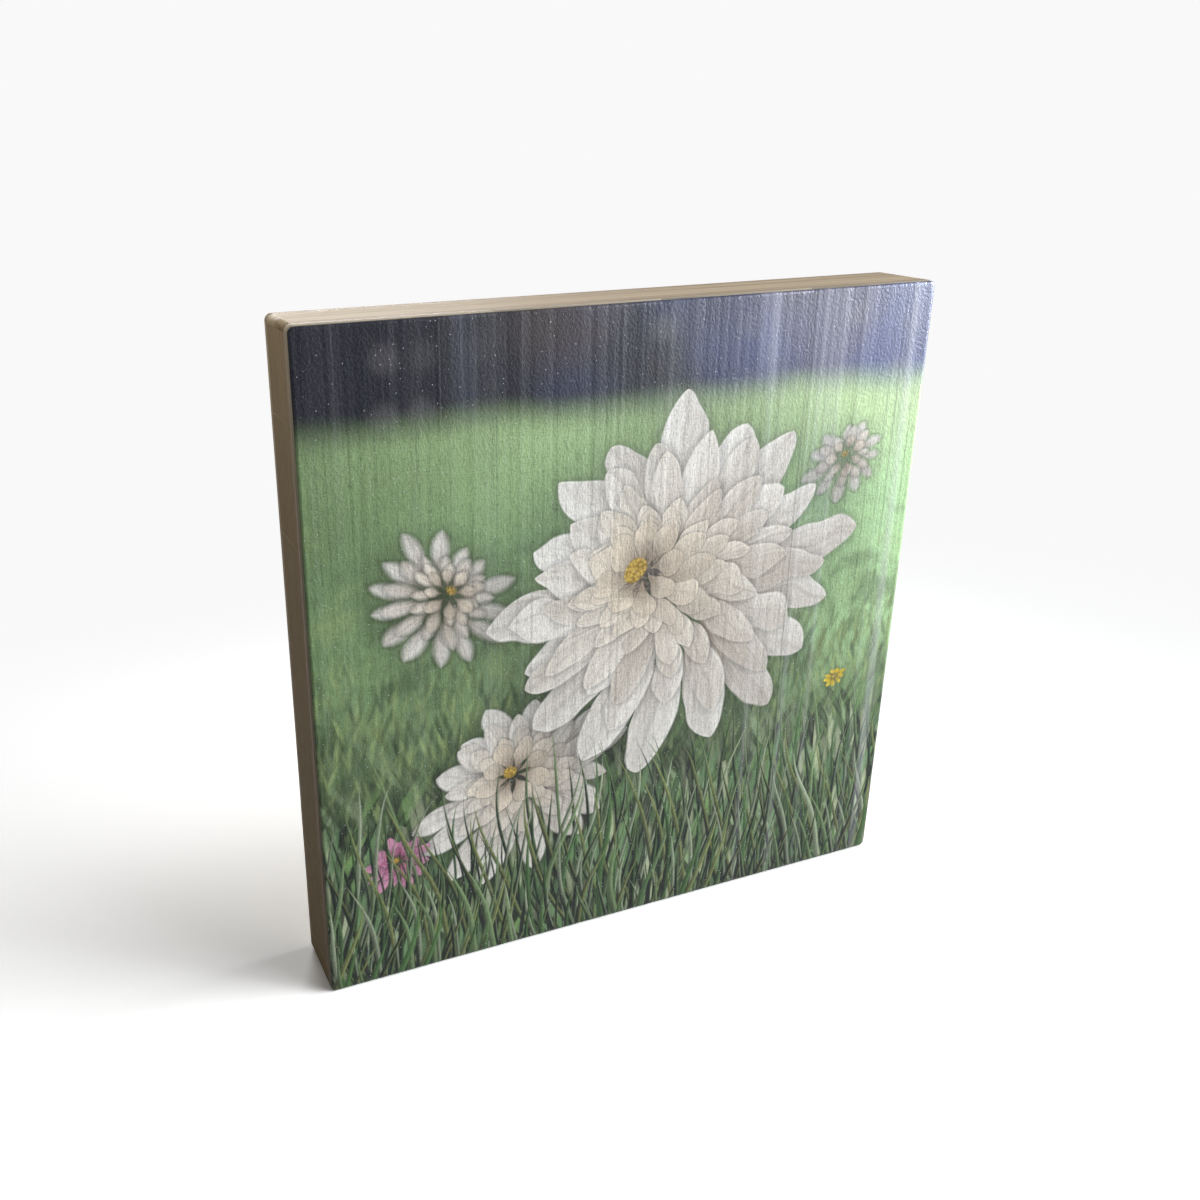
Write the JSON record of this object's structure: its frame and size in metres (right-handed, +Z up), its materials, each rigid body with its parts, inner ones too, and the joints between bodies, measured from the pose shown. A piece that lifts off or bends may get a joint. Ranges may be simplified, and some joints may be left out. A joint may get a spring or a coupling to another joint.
{
  "type": "wooden photo block",
  "caption": "Square wooden block that stands on its edge, with a picture printed on its front face and bare wood edges and back.",
  "frame": {"origin": "middle of the base edge, on the surface that the block stands on", "axes": "+Z up, the picture faces -Y, and +X is to the right of someone who looks at the picture"},
  "size_m": [0.1524, 0.0184, 0.1524],
  "materials": {
    "topcoat": "clear satin coat over the picture",
    "ink": "printed picture, satin",
    "base_coat": "thin white ground under the ink",
    "front_veneer": "pale, straight-grained, sanded, grain upright",
    "back_veneer": "straight-grained, sanded, unfinished",
    "core_wood": "sanded, unfinished, grain across",
    "glue": "dark set glue"
  },
  "bodies": {
    "root": {"clear_topcoat": "topcoat", "printed_picture": "ink", "white_base_coat": "base_coat", "front_veneer_leaf_1": "front_veneer", "front_veneer_leaf_2": "front_veneer", "front_veneer_leaf_3": "front_veneer", "front_veneer_leaf_4": "front_veneer", "front_glue_line": "glue", "core_strip_1": "core_wood", "core_strip_2": "core_wood", "core_strip_3": "core_wood", "core_strip_4": "core_wood", "core_strip_5": "core_wood", "core_strip_6": "core_wood", "core_strip_7": "core_wood", "back_glue_line": "glue", "back_veneer_leaf_1": "back_veneer", "back_veneer_leaf_2": "back_veneer", "back_veneer_leaf_3": "back_veneer", "back_veneer_leaf_4": "back_veneer"}
  },
  "joints": []
}
